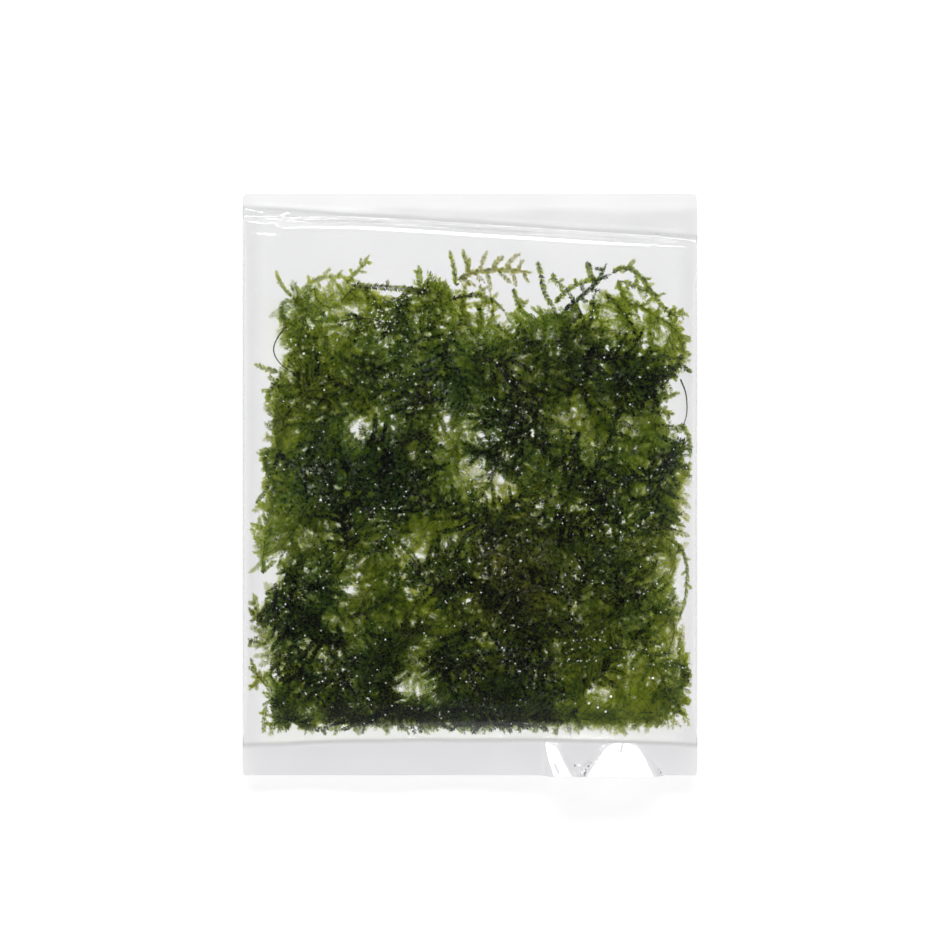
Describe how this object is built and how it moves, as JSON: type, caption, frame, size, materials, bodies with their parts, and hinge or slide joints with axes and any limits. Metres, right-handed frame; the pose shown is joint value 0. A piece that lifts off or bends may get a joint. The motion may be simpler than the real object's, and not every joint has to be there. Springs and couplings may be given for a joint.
{
  "type": "pouch of taiwan moss",
  "caption": "Clear flat film pouch, sealed at both ends and filled with water, holding a mat of leafy aquarium moss shoots.",
  "frame": {"origin": "under the middle of the pouch, on the surface it lies on", "axes": "+Z out of the pouch's front face, +Y along it from the bottom seal to the top one, +X across it to the right as seen from the front"},
  "size_m": [0.1, 0.1278, 0.0104],
  "materials": {
    "film": "gloss",
    "water": "gloss",
    "moss": "satin",
    "shoot": "satin",
    "stem": "matte"
  },
  "bodies": {
    "root": {"pouch": "film", "water_front": "water", "water_back": "water", "moss_top_left": "moss", "moss_top_middle": "moss", "moss_top_right": "moss", "moss_left": "moss", "moss_right": "moss", "moss_lower_left": "moss", "moss_centre": "moss", "moss_lower_right": "moss", "moss_bottom_left": "moss", "moss_bottom_middle": "moss", "moss_bottom_right": "moss", "comb_shoot": "shoot", "hanging_shoot_right": "shoot", "hanging_shoot_left": "shoot", "tip_shoot": "shoot", "top_left_shoot": "shoot", "dark_shoot": "shoot", "arched_shoot": "shoot", "right_edge_shoot": "shoot", "left_upper_shoot": "shoot", "left_edge_shoot": "shoot", "left_low_shoot": "shoot", "bottom_left_shoot": "shoot", "loop_stem": "stem", "right_arc_stem": "stem", "brown_stem": "stem"}
  },
  "joints": []
}
